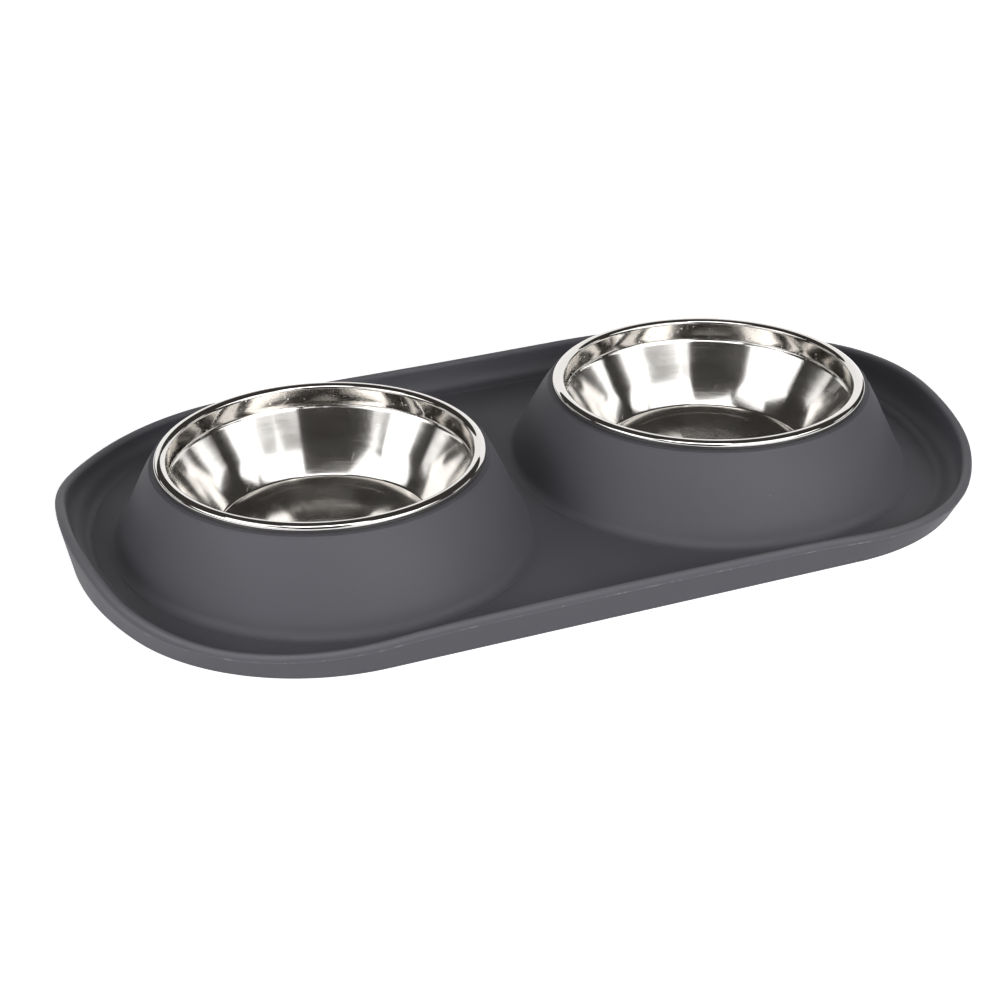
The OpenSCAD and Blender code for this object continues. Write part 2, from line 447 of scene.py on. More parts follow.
@dataclass
class SiliconeBase:
    """One-piece silicone base: tray, wavy edge and two domes."""

    outline: Outline = Outline()
    edge: WavyEdge = WavyEdge()
    dome: Dome = Dome()
    round_margin: float = 1.0
    quarter_steps: int = 150
    dome_steps: int = 224
    sharp_degrees: float = 32.0

    def _crown(self, ring: int) -> float:
        """How near one ring is to the crown of the lip, 0 to 1."""
        along = (ring - self.edge.lip_start()) / self.edge.lip_steps
        return math.sin(math.pi * along) if 0.0 < along < 1.0 else 0.0

    def _edge_rings(self) -> Tuple[List[List[Vector]], List[List[float]]]:
        """Rings of the tray's edge, and each point's height over the parting line.

        Returns:
            The rings in metres, and the heights in metres.
        """
        n = self.quarter_steps
        sections = [self.edge.section(k / n) for k in range(n + 1)]
        places = [self.outline.at(k / n) for k in range(n + 1)]
        crown = self.edge.lip_start() + self.edge.lip_steps // 2
        rings: List[List[Vector]] = []
        over: List[List[float]] = []
        for m in range(len(sections[0])):
            ring, line = [], []
            for k in range(4 * n):
                q, j = divmod(k, n)
                i = j if q % 2 == 0 else n - j
                sx, sy = ((1, 1), (1, -1), (-1, -1), (-1, 1))[q]
                p = places[i][0] + places[i][1] * sections[i][m][0]
                z = sections[i][m][1]
                ring.append(Vector((p[0] * sx, p[1] * sy, z)) * MM)
                over_line = (z - self.edge.line_height(i / n)) * MM
                line.append(over_line if m < crown else FAR_OVER_LINE)
            rings.append(ring)
            over.append(line)
        return rings, over

    @staticmethod
    def _mark(piece: Object, over_line: List[float], lip_crown: List[float]) -> None:
        """Writes the attributes that the finish reads.

        Args:
            piece: the piece.
            over_line: each vertex's height over the parting line, in metres.
            lip_crown: how near each vertex is to the crown of the lip, where the finish paints a
                highlight.
        """
        for name, values in (("over_line", over_line), ("lip_crown", lip_crown)):
            piece.data.attributes.new(name, "FLOAT", "POINT").data.foreach_set("value", values)

    def _mark_edge(self, piece: Object, over: List[List[float]]) -> None:
        """Writes both attributes on the lofted edge and drops its station numbers.

        Args:
            piece: the lofted edge.
            over: each point's height over the parting line, ring after ring.
        """
        station = [d.value for d in piece.data.attributes["station"].data]
        seen: List[int] = [0] * (max(station) + 1)
        ring_of = []
        for s in station:
            ring_of.append(seen[s])
            seen[s] += 1
        heights = [over[ring][s] for ring, s in zip(ring_of, station)]
        self._mark(piece, heights, [self._crown(ring) for ring in ring_of])
        piece.data.attributes.remove(piece.data.attributes["station"])

    def _dome(self, side: Side) -> Object:
        """Models one dome and makes its side oval, leaving its mouth round.

        Args:
            side: the dome's place.

        Returns:
            The dome, open at its foot and at the table.
        """
        x = side.value * BOWL_X
        dome = spun("dome_" + side.name.lower(), self.dome.profile(), x, self.dome_steps)
        count = len(dome.data.vertices)
        self._mark(dome, [FAR_OVER_LINE] * count, [0.0] * count)
        middle = x * MM
        round_r = (self.dome.mouth_r + self.round_margin) * MM
        for v in dome.data.vertices:
            if math.hypot(v.co.x - middle, v.co.y) > round_r:
                across, along = self.dome.oval(v.co.z / MM)
                v.co = (middle + (v.co.x - middle) * across, v.co.y * along, v.co.z)
        return dome

    def _fill_level(self, piece: Object, level: float) -> None:
        """Closes the flat face between the open loops at one height.

        Args:
            piece: the joined base.
            level: height of the face, in millimetres.
        """
        open_mesh(piece)
        bpy.ops.mesh.select_mode(type="EDGE")
        bpy.ops.mesh.select_all(action="DESELECT")
        mesh = bmesh.from_edit_mesh(piece.data)
        for e in mesh.edges:
            flat = all(abs(v.co.z - level * MM) < LEVEL_TOLERANCE for v in e.verts)
            e.select = e.is_boundary and flat
        mesh.select_flush_mode()
        bmesh.update_edit_mesh(piece.data)
        bpy.ops.mesh.fill(use_beauty=True)
        close_mesh()

    def build(self) -> Object:
        """Models the base.

        Returns:
            The finished mesh, with no material yet.
        """
        rings, over = self._edge_rings()
        base = lofted("silicone_base_skin", rings)
        self._mark_edge(base, over)
        domes = [self._dome(side) for side in Side]
        deselect_all()
        for piece in (*domes, base):
            piece.select_set(True)
        bpy.context.view_layer.objects.active = base
        bpy.ops.object.join()
        self._fill_level(base, self.edge.floor_h)
        self._fill_level(base, 0.0)
        open_mesh(base)
        bpy.ops.mesh.select_mode(type="VERT")
        select_mesh()
        bpy.ops.mesh.normals_make_consistent(inside=False)
        close_mesh()
        smooth(base, self.sharp_degrees)
        return base


# ---- steel bowls


@dataclass(frozen=True)
class BowlShape:
    """Bowl pressed from one steel sheet and rolled over at its rim."""

    rim_r: float = 80.0
    rim_w: float = 6.0
    rim_h: float = 3.9
    arch_h: float = 1.9
    sheet: float = 0.8
    top_h: float = 45.9
    height: float = 41.9
    collar_rows: Triple = (3.0, 1.0, 0.3)
    tip_side: float = 0.25
    tip_low: float = 0.06
    tip_in: float = 0.1
    tip_flat: float = 0.28
    crease_depth: float = 11.0
    crease_w: float = 0.7
    crease_h: float = 0.9
    crease_bow: float = 0.4
    crease_over: float = 0.6
    wall_run: float = 10.4
    wall_rows: Tuple[float, ...] = (0.05, 0.25, 0.5, 0.75, 0.95, 1.0)
    curve_share: float = 0.45
    curve_r: float = 90.0
    bend_r: float = 2.5
    floor_land: float = 2.0
    ring_r: float = 43.0
    ring_slope_w: float = 1.6
    ring_rise: float = 0.6
    ring_land: float = 0.5
    ring_steps: int = 3
    bend_steps: int = 10
    curve_steps: int = 16
    crease_steps: int = 5
    arch_steps: int = 20

    def profile(self) -> List[Point]:
        """Profile of the sheet, from the middle of the floor round the rim and back.

        Returns:
            Distance from the axis and height, point after point.
        """
        tip = self.top_h - self.rim_h
        outer_r = self.rim_r - self.sheet
        tip_round = [(self.rim_r - self.tip_in, tip + self.tip_low),
                     (self.rim_r - self.tip_flat, tip),
                     (outer_r + self.tip_flat, tip),
                     (outer_r + self.tip_in, tip + self.tip_low)]
        inner = self._skin(0.0) + [(self.rim_r, tip + self.tip_side)]
        outer = self._skin(self.sheet) + [(outer_r, tip + self.tip_side)]
        return inner + tip_round + outer[::-1]

    def _skin(self, under: float) -> List[Point]:
        """One face of the sheet, from the middle of the floor over the rim's arch.

        Args:
            under: distance under the inner face: 0 or the sheet's thickness.

        Returns:
            Distance from the axis and height, point after point.
        """
        floor = self.top_h - self.height + self.sheet
        collar = self.rim_r - self.rim_w
        crease = self.top_h - self.crease_depth
        top = (collar - self.crease_w, crease - self.crease_h)
        knee = (top[0] - self.wall_run, floor + self.curve_share * (top[1] - floor))
        slope = math.atan2(self.wall_run, top[1] - knee[1])
        hub = (knee[0] - self.curve_r * math.cos(slope), knee[1] + self.curve_r * math.sin(slope))
        inside = self.curve_r - self.bend_r
        join = math.asin((hub[1] - floor - self.bend_r) / inside)
        low = (hub[0] + inside * math.cos(join), hub[1] - inside * math.sin(join))
        lean, turn = math.degrees(slope), math.degrees(join)
        arch = (self.rim_r - self.rim_w / 2, self.top_h - self.arch_h)
        top = (top[0] + under * math.cos(slope), top[1] - under * math.sin(slope))
        collar += under
        points = self._disc(floor - under)
        points += arc(low, self.bend_r + under, -90, -turn, self.bend_steps)
        points += arc(hub, self.curve_r + under, -turn, -lean, self.curve_steps)[1:]
        foot = points[-1]
        points += [between(foot, top, share) for share in self.wall_rows]
        points += bend(top, (collar, crease - self.crease_h * self.crease_bow),
                       (collar, crease + self.crease_over), self.crease_steps)
        over_crease, under_arch, at_arch = self.collar_rows
        if not under:
            points += [(collar, crease + over_crease), (collar, arch[1] - under_arch)]
        points.append((collar, arch[1] - at_arch))
        return points + self._arch(arch, self.rim_w / 2 - under, self.arch_h - under)

    def _disc(self, floor: float) -> List[Point]:
        """Floor with its pressed disc.

        Args:
            floor: height of the floor.

        Returns:
            Points from the middle out, the last one short of the bend.
        """
        high = floor + self.ring_rise
        start = self.ring_r - self.ring_slope_w
        middle = (start + self.ring_slope_w / 2, (high + floor) / 2)
        rise = (start - self.ring_land, high)
        points = [(0.0, high), (start / 2, high), rise]
        points += bend(rise, (start, high), middle, self.ring_steps)
        points += bend(middle, (self.ring_r, floor), (self.ring_r + self.ring_land, floor),
                       self.ring_steps)
        return points + [(self.ring_r + self.floor_land, floor)]

    def _arch(self, centre: Point, rx: float, ry: float) -> List[Point]:
        """Upper half of an ellipse, from its inner to its outer side."""
        turn = [math.pi * i / self.arch_steps for i in range(self.arch_steps + 1)]
        return [(centre[0] - rx * math.cos(t), centre[1] + ry * math.sin(t)) for t in turn]


@dataclass
class SteelBowl:
    """A loose bowl that hangs in its dome by the rim."""

    side: Side
    shape: BowlShape = BowlShape()
    spin_steps: int = 256
    sharp_degrees: float = 40.0

    def build(self) -> Object:
        """Models the bowl.

        Returns:
            The finished mesh, with no material yet.
        """
        name = self.side.name.lower() + "_bowl_sheet"
        piece = spun(name, self.shape.profile(), self.side.value * BOWL_X, self.spin_steps)
        smooth(piece, self.sharp_degrees)
        return piece


# ---- finishes


@dataclass(frozen=True)
class Noise:
    """Cloudy noise: its scale, octaves and roughness."""

    scale: float
    detail: float
    roughness: float


@dataclass(frozen=True)
class Specks:
    """Sparse specks: cells in a metre, share of cells that have one, radius in cells."""

    cells: float
    share: float
    radius: float


@dataclass(frozen=True)
class Streaks:
    """Fine streaks: how many in a metre across, scale along them, octaves."""

    fine: float
    length: float
    detail: float


@dataclass(frozen=True)
class Ramp:
    """Smooth step from low to high, and its results at both ends."""

    low: float
    high: float
    out_low: float = 0.0
    out_high: float = 1.0

    def over(self, base: float) -> "Ramp":
        """The same step with both results raised by base."""
        return Ramp(self.low, self.high, base + self.out_low, base + self.out_high)


def sockets(group: NodeTree, vector: str, out: str, **values: float) -> None:
    """Adds the sockets of a node group.

    Args:
        group: the group.
        vector: name of its vector input.
        out: name of its output.
        values: default of each float input, by name.
    """
    add = group.interface.new_socket
    add(name=vector, in_out="INPUT", socket_type="NodeSocketVector")
    for name, value in values.items():
        made = add(name=name, in_out="INPUT", socket_type="NodeSocketFloat")
        made.default_value = value
    add(name=out, in_out="OUTPUT", socket_type="NodeSocketFloat")


class Wiring:
    """Adds and links nodes in one tree."""

    def __init__(self, tree: NodeTree) -> None:
        """Keeps the tree to work in."""
        self.tree = tree

    def node(self, kind: str, **settings: object) -> Node:
        """Adds a node and sets its properties.

        Args:
            kind: the node's type.
            settings: properties by name.

        Returns:
            The node.
        """
        made = self.tree.nodes.new(kind)
        for key, value in settings.items():
            setattr(made, key, value)
        return made

    def feed(self, node: Node, **inputs: object) -> Node:
        """Sets or links inputs by name, with _ for a space, or by number, as i0 or i1.

        Args:
            node: the node.
            inputs: a number, a tuple or an output socket for each input.

        Returns:
            The node.
        """
        for key, value in inputs.items():
            numbered = key[0] == "i" and key[1:].isdigit()
            target = node.inputs[int(key[1:]) if numbered else key.replace("_", " ")]
            if isinstance(value, NodeSocket):
                self.tree.links.new(value, target)
            else:
                target.default_value = value
        return node

    def math(self, operation: str, *values: object, clamp: bool = False) -> NodeSocket:
        """Adds a math node.

        Args:
            operation: its operation.
            values: numbers or sockets.
            clamp: True keeps the result from 0 to 1.

        Returns:
            Its output.
        """
        made = self.node("ShaderNodeMath", operation=operation, use_clamp=clamp)
        self.feed(made, **{"i%d" % i: v for i, v in enumerate(values)})
        return made.outputs[0]

    def add_up(self, first: object, *terms: Tuple[object, float]) -> NodeSocket:
        """Adds weighted values to a first one.

        Args:
            first: the first value.
            terms: a value and its weight for each that is added.

        Returns:
            The sum.
        """
        total = first
        for value, weight in terms:
            total = self.math("ADD", total, self.math("MULTIPLY", value, weight))
        return total

    def step(self, value: object, ramp: Ramp) -> NodeSocket:
        """Maps a range smoothly.

        Args:
            value: what is mapped.
            ramp: the range and the results at its ends.

        Returns:
            The mapped value.
        """
        made = self.node("ShaderNodeMapRange", interpolation_type="SMOOTHSTEP", clamp=True)
        self.feed(made, Value=value, From_Min=ramp.low, From_Max=ramp.high,
                  To_Min=ramp.out_low, To_Max=ramp.out_high)
        return made.outputs[0]

    def mix(self, factor: object, a: object, b: object) -> NodeSocket:
        """Mixes two colours.

        Args:
            factor: 0 gives a, 1 gives b.
            a: first colour.
            b: second colour.

        Returns:
            The mixed colour.
        """
        made = self.node("ShaderNodeMix", data_type="RGBA")
        self.feed(made, i0=factor, i6=a, i7=b)
        return made.outputs[2]

    def noise(self, place: object, kind: Noise) -> NodeSocket:
        """Adds a noise texture.

        Args:
            place: coordinates.
            kind: its scale, octaves and roughness.

        Returns:
            The noise, about 0.5 in the mean.
        """
        made = self.node("ShaderNodeTexNoise")
        self.feed(made, Vector=place, Scale=kind.scale, Detail=kind.detail,
                  Roughness=kind.roughness)
        return made.outputs["Fac"]

    def specks(self, place: object, kind: Specks) -> NodeSocket:
        """Adds the group of sparse specks.

        Args:
            place: coordinates.
            kind: the specks' number and size.

        Returns:
            Mask of the specks.
        """
        made = self.node("ShaderNodeGroup", node_tree=bpy.data.node_groups["dust_specks"])
        self.feed(made, Vector=place, Cells=kind.cells, Share=kind.share, Radius=kind.radius)
        return made.outputs[0]

    def streaks(self, along: object, across: object, kind: Streaks) -> NodeSocket:
        """Adds the group of fine streaks.

        Args:
            along: vector that changes along the streaks.
            across: distance across them.
            kind: the streaks' number and length.

        Returns:
            The grain, about 0.5 in the mean.
        """
        made = self.node("ShaderNodeGroup", node_tree=bpy.data.node_groups["fine_streaks"])
        self.feed(made, Along=along, Across=across, Fine=kind.fine, Length=kind.length,
                  Detail=kind.detail)
        return made.outputs[0]


def new_material(name: str) -> Tuple[Material, Wiring, Node]:
    """Makes a material.

    Args:
        name: its name.

    Returns:
        The material, the wiring of its tree and its Principled shader.
    """
    made = bpy.data.materials.new(name)
    made.use_nodes = True
    return made, Wiring(made.node_tree), made.node_tree.nodes["Principled BSDF"]


def dust_group() -> None:
    """Makes the group of sparse specks: Vector, Cells, Share and Radius in, Mask out."""
    least_size, soft_edge = 0.35, Ramp(0.0, 0.5)
    group = bpy.data.node_groups.new("dust_specks", "ShaderNodeTree")
    sockets(group, "Vector", "Mask", Cells=300.0, Share=0.2, Radius=0.12)
    w = Wiring(group)
    enter, leave = w.node("NodeGroupInput"), w.node("NodeGroupOutput")
    cell = w.node("ShaderNodeTexVoronoi", feature="F1")
    w.feed(cell, Vector=enter.outputs["Vector"], Scale=enter.outputs["Cells"])
    hue = w.feed(w.node("ShaderNodeSeparateColor"), Color=cell.outputs["Color"])
    chosen = w.math("LESS_THAN", hue.outputs[0], enter.outputs["Share"])
    size = w.math("MULTIPLY", enter.outputs["Radius"], w.math("ADD", least_size, hue.outputs[1]))
    far = w.math("DIVIDE", cell.outputs["Distance"], size)
    near = w.math("SUBTRACT", 1.0, far, clamp=True)
    w.feed(leave, Mask=w.math("MULTIPLY", chosen, w.step(near, soft_edge)))


def grain_group() -> None:
    """Makes the group of streaks: Along, Across, Fine, Length and Detail in, Grain out."""
    group = bpy.data.node_groups.new("fine_streaks", "ShaderNodeTree")
    sockets(group, "Along", "Grain", Across=0.0, Fine=1000.0, Length=20.0, Detail=3.0)
    w = Wiring(group)
    enter, leave = w.node("NodeGroupInput"), w.node("NodeGroupOutput")
    scaled = w.node("ShaderNodeVectorMath", operation="SCALE")
    w.feed(scaled, Vector=enter.outputs["Along"], Scale=enter.outputs["Length"])
    across = w.math("MULTIPLY", enter.outputs["Across"], enter.outputs["Fine"])
    noise = w.node("ShaderNodeTexNoise", noise_dimensions="4D")
    w.feed(noise, Vector=scaled.outputs[0], W=across, Scale=1.0,
           Detail=enter.outputs["Detail"], Roughness=0.6)
    w.feed(leave, Grain=noise.outputs["Fac"])


@dataclass(frozen=True)
class SiliconeFinish:
    """Matt charcoal silicone with a moulded grain, dust, a parting line, and painted highlights on
    that line and the lip.
    """

    colour: Triple = (0.104, 0.102, 0.117)
    worn: Triple = (0.120, 0.118, 0.133)
    # lip: lighter tone on the lip's crown, a painted highlight for the light that its top catches
    lip: Triple = (0.170, 0.168, 0.184)
    dust_colour: Triple = (0.30, 0.30, 0.31)
    lint_colour: Triple = (0.34, 0.34, 0.34)
    # Parting line: the ridge itself is real (bump), but its lighter, broken tone is a painted
    # highlight
    flash_highlight_colour: Triple = (0.36, 0.36, 0.36)
    roughness: float = 0.60
    specular: float = 0.3
    sheen: float = 0.03
    sheen_roughness: float = 0.45
    clouds: Noise = Noise(22.0, 4.0, 0.6)
    grain: Noise = Noise(1400.0, 2.0, 0.5)
    pores: Noise = Noise(420.0, 3.0, 0.6)
    breaks: Noise = Noise(170.0, 3.0, 0.7)
    dust: Specks = Specks(240.0, 0.10, 0.055)
    lint: Specks = Specks(90.0, 0.06, 0.045)
    worn_clouds: Ramp = Ramp(0.35, 0.75, 0.0, 0.35)
    rough_clouds: Ramp = Ramp(0.3, 0.8, -0.05, 0.06)
    painted_lip_highlight: Ramp = Ramp(0.45, 1.0)
    line_edge: Ramp = Ramp(0.00018, 0.00048, 1.0, 0.0)
    broken_line: Ramp = Ramp(0.50, 0.68, 0.22, 1.0)
    dust_share: float = 0.35
    lint_share: float = 0.4
    # How far the parting line's painted highlight lightens the tone.
    flash_highlight_share: float = 0.6
    grain_height: float = 0.5
    pore_height: float = 0.6
    line_height: float = 0.8
    bump_strength: float = 0.25
    bump_distance: float = 0.00006

    def material(self) -> Material:
        """Makes the material.

        Returns:
            The material.
        """
        made, w, shader = new_material("matt_silicone")
        place = w.node("ShaderNodeTexCoord").outputs["Object"]
        clouds, grain, pores = (w.noise(place, kind) for kind in
                                (self.clouds, self.grain, self.pores))
        dust, lint = w.specks(place, self.dust), w.specks(place, self.lint)
        over, crown = (w.node("ShaderNodeAttribute", attribute_name=name).outputs["Fac"]
                       for name in ("over_line", "lip_crown"))
        line = w.step(w.math("ABSOLUTE", over), self.line_edge)
        # Painted highlight: lighter broken specks along the parting line's real ridge.
        flash_and_highlight = w.math("MULTIPLY", line, w.step(w.noise(place, self.breaks), self.broken_line))
        tone = w.mix(w.step(clouds, self.worn_clouds), (*self.colour, 1), (*self.worn, 1))
        # Painted highlight: the lip's crown is lightened towards the lip tone.
        tone = w.mix(w.step(crown, self.painted_lip_highlight), tone, (*self.lip, 1))
        for mask, share, colour in ((dust, self.dust_share, self.dust_colour),
                                    (lint, self.lint_share, self.lint_colour),
                                    (flash_and_highlight, self.flash_highlight_share, self.flash_highlight_colour)):
            tone = w.mix(w.math("MULTIPLY", mask, share), tone, (*colour, 1))
        rough = w.step(clouds, self.rough_clouds.over(self.roughness))
        height = w.add_up(w.math("MULTIPLY", grain, self.grain_height),
                          (pores, self.pore_height), (line, self.line_height))
        bump = w.feed(w.node("ShaderNodeBump"), Height=height, Strength=self.bump_strength,
                      Distance=self.bump_distance)
        w.feed(shader, Base_Color=tone, Roughness=rough, Normal=bump.outputs[0],
               Specular_IOR_Level=self.specular, Sheen_Weight=self.sheen,
               Sheen_Roughness=self.sheen_roughness)
        return made


@dataclass(frozen=True)
class SteelFinish:
    """Pressed steel, polished, brushed round its axis and scratched by use."""

    centre_x: float
    name: str
    colour: Triple = (0.665, 0.650, 0.630)
    dull: Triple = (0.55, 0.53, 0.50)
    roughness: float = 0.12
    anisotropy: float = 0.7
    quarter_turn: float = 0.25
    mean_r: float = 0.065
    axis_r: float = 0.0001
    slope_share: float = 0.8
    turned: Streaks = Streaks(1500.0, 3.0, 4.0)
    coarse: Streaks = Streaks(420.0, 1.6, 3.0)
    rings: Streaks = Streaks(150.0, 0.6, 2.0)
    scratch: Streaks = Streaks(1300.0, 55.0, 1.0)
    scratch_sets: Tuple[Point, ...] = ((38.0, 0.71), (-52.0, 0.73), (84.0, 0.72))
    scratch_edge: float = 0.05
    smear: Noise = Noise(38.0, 4.0, 0.6)
    nick: Noise = Noise(260.0, 3.0, 0.7)
    speck: Specks = Specks(620.0, 0.28, 0.34)
    collar_in: Ramp = Ramp(0.0732, 0.0738)
    collar_out: Ramp = Ramp(0.0745, 0.0752, 1.0, 0.0)
    collar_gloss: Ramp = Ramp(0.0732, 0.0738, 1.0, 0.3)
    crease_z: float = 0.0346
    crease_edge: Ramp = Ramp(0.0004, 0.0009, 1.0, 0.0)
    nick_edge: Ramp = Ramp(0.52, 0.62)
    smear_rough: Ramp = Ramp(0.3, 0.8, -0.02, 0.05)
    turned_edge: Ramp = Ramp(0.45, 0.75)
    dull_rings: Ramp = Ramp(0.3, 0.75, 0.5, 0.0)
    worn_share: float = 0.8
    coarse_height: float = 0.6
    scratch_height: float = -0.6
    worn_height: float = -1.2
    turned_rough: float = 0.05
    scratch_rough: float = 0.16
    worn_rough: float = 0.30
    bump_strength: float = 0.08
    bump_distance: float = 0.00008

    def _places(self, w: Wiring) -> Tuple[NodeSocket, ...]:
        """Coordinates round the bowl's own axis.

        Args:
            w: wiring of the material.

        Returns:
            Object place, unit vector round the axis, way down the sheet, angle, radius and
            height.
        """
        place = w.node("ShaderNodeTexCoord").outputs["Object"]
        own = w.node("ShaderNodeMapping", vector_type="POINT")
        w.feed(own, Vector=place, Location=(-self.centre_x, 0, 0))
        x, y, z = w.feed(w.node("ShaderNodeSeparateXYZ"), Vector=own.outputs[0]).outputs
        r = w.math("SQRT", w.math("ADD", w.math("MULTIPLY", x, x), w.math("MULTIPLY", y, y)))
        safe = w.math("MAXIMUM", r, self.axis_r)
        turn = w.node("ShaderNodeCombineXYZ")
        w.feed(turn, X=w.math("DIVIDE", x, safe), Y=w.math("DIVIDE", y, safe), Z=0.0)
        down = w.math("ADD", w.math("MULTIPLY", r, self.slope_share), z)
        return place, turn.outputs[0], down, w.math("ARCTAN2", x, y), r, z

    def _scratches(self, w: Wiring, angle: object, down: object, degrees: float,
                   low: float) -> NodeSocket:
        """Adds thin straight scratches that run slantwise.

        Args:
            w: wiring of the material.
            angle: angle round the axis.
            down: way down the sheet.
            degrees: slant of the scratches from the circle.
            low: threshold of the noise, higher for fewer scratches.

        Returns:
            Mask of the scratches.
        """
        c, s = math.cos(math.radians(degrees)), math.sin(math.radians(degrees))
        arc_way = w.math("MULTIPLY", angle, self.mean_r)
        along = w.math("ADD", w.math("MULTIPLY", arc_way, c), w.math("MULTIPLY", down, s))
        across = w.math("SUBTRACT", w.math("MULTIPLY", down, c), w.math("MULTIPLY", arc_way, s))
        way = w.feed(w.node("ShaderNodeCombineXYZ"), X=along, Y=0.0, Z=0.0)
        grain = w.streaks(way.outputs[0], across, self.scratch)
        return w.step(grain, Ramp(low, low + self.scratch_edge))

    def material(self) -> Material:
        """Makes the material.

        Returns:
            The material.
        """
        made, w, shader = new_material(self.name)
        place, turn, down, angle, r, z = self._places(w)
        turned, coarse, rings = (w.streaks(turn, down, kind) for kind in
                                 (self.turned, self.coarse, self.rings))
        scratch, *more = (self._scratches(w, angle, down, *one) for one in self.scratch_sets)
        for other in more:
            scratch = w.math("MAXIMUM", scratch, other)
        on_collar = w.math("MULTIPLY", w.step(r, self.collar_in), w.step(r, self.collar_out))
        specks = w.math("MULTIPLY", w.specks(place, self.speck), on_collar)
        off_crease = w.math("ABSOLUTE", w.math("SUBTRACT", z, self.crease_z))
        nicks = w.math("MULTIPLY", w.step(off_crease, self.crease_edge),
                       w.step(w.noise(place, self.nick), self.nick_edge))
        worn = w.math("MAXIMUM", w.math("MULTIPLY", specks, self.worn_share),
                      w.math("MULTIPLY", nicks, self.worn_share))
        height = w.add_up(turned, (coarse, self.coarse_height), (scratch, self.scratch_height),
                          (worn, self.worn_height))
        smears = w.step(w.noise(place, self.smear), self.smear_rough.over(self.roughness))
        rough = w.add_up(smears, (w.step(turned, self.turned_edge), self.turned_rough))
        rough = w.math("MULTIPLY", rough, w.step(r, self.collar_gloss))
        rough = w.add_up(rough, (scratch, self.scratch_rough), (worn, self.worn_rough))
        bump = w.feed(w.node("ShaderNodeBump"), Height=height, Strength=self.bump_strength,
                      Distance=self.bump_distance)
        tone = w.mix(w.step(rings, self.dull_rings), (*self.colour, 1), (*self.dull, 1))
        tangent = w.node("ShaderNodeTangent", direction_type="RADIAL", axis="Z")
        w.feed(shader, Base_Color=tone, Roughness=rough, Normal=bump.outputs[0], Metallic=1.0,
               Anisotropic=self.anisotropy, Anisotropic_Rotation=self.quarter_turn,
               Tangent=tangent.outputs[0])
        return made


# ---- studio


@dataclass(frozen=True)
class Softbox:
    """Rectangular lamp.

    Its place is given by how far it is towards the camera, to the left and
    up. With no yaw and no pitch it lies flat and shines straight down. A
    mirrored lamp shows only in reflections, the others only light surfaces.
    """

    name: str
    toward: float
    left: float
    up: float
    yaw: float
    pitch: float
    roll: float
    width: float
    depth: float
    level: float
    mirrored: bool = True

    def place(self, view_azimuth: float) -> None:
        """Puts the lamp into the scene.

        Args:
            view_azimuth: direction of the camera from the object, clockwise from +Y, in degrees.
        """
        a = math.radians(view_azimuth)
        toward = Vector((math.sin(a), math.cos(a), 0))
        left, up = Vector((math.cos(a), -math.sin(a), 0)), Vector((0, 0, 1))
        yaw, pitch, roll = (math.radians(v) for v in (self.yaw, self.pitch, self.roll))
        away = toward * math.cos(yaw) + left * math.sin(yaw)
        side = left * math.cos(yaw) - toward * math.sin(yaw)
        deep = away * math.cos(pitch) - up * math.sin(pitch)
        side, deep = (side * math.cos(roll) + deep * math.sin(roll),
                      deep * math.cos(roll) - side * math.sin(roll))
        back = side.cross(deep)
        if back.z < 0:
            side, back = -side, -back
        deselect_all()
        place = toward * self.toward + left * self.left + up * self.up
        bpy.ops.object.light_add(type="AREA", location=place)
        lamp = bpy.context.active_object
        lamp.name = self.name
        lamp.data.shape = "RECTANGLE"
        lamp.data.size = self.width
        lamp.data.size_y = self.depth
        lamp.data.energy = self.level * math.pi * self.width * self.depth
        lamp.rotation_mode = "QUATERNION"
        lamp.rotation_quaternion = Matrix((side, deep, back)).transposed().to_quaternion()
        lamp.visible_camera = False
        lamp.visible_glossy = self.mirrored
        lamp.visible_diffuse = not self.mirrored


@dataclass(frozen=True)
class PhotoCamera:
    """Camera at the photograph's viewing angle."""

    place: Triple = (-0.3715, -0.8739, 0.4866)
    forward: Triple = (0.3333, 0.8213, -0.4630)
    right: Triple = (0.9239, -0.3824, -0.0132)
    sensor: float = 36.0
    lens: float = 75.52
    shift: Point = (0.00933, 0.00935)
    clip: Point = (0.01, 50)

    def build(self) -> None:
        """Adds the camera and makes it the scene's."""
        deselect_all()
        bpy.ops.object.camera_add(location=self.place)
        cam = bpy.context.active_object
        cam.name = "photo_camera"
        forward = Vector(self.forward).normalized()
        right = Vector(self.right)
        right = (right - forward * right.dot(forward)).normalized()
        turn = Matrix((right, right.cross(forward), -forward)).transposed()
        cam.rotation_mode = "QUATERNION"
        cam.rotation_quaternion = turn.to_quaternion()
        cam.data.sensor_width = self.sensor
        cam.data.lens = self.lens
        cam.data.shift_x, cam.data.shift_y = self.shift
        cam.data.clip_start, cam.data.clip_end = self.clip
        bpy.context.scene.camera = cam


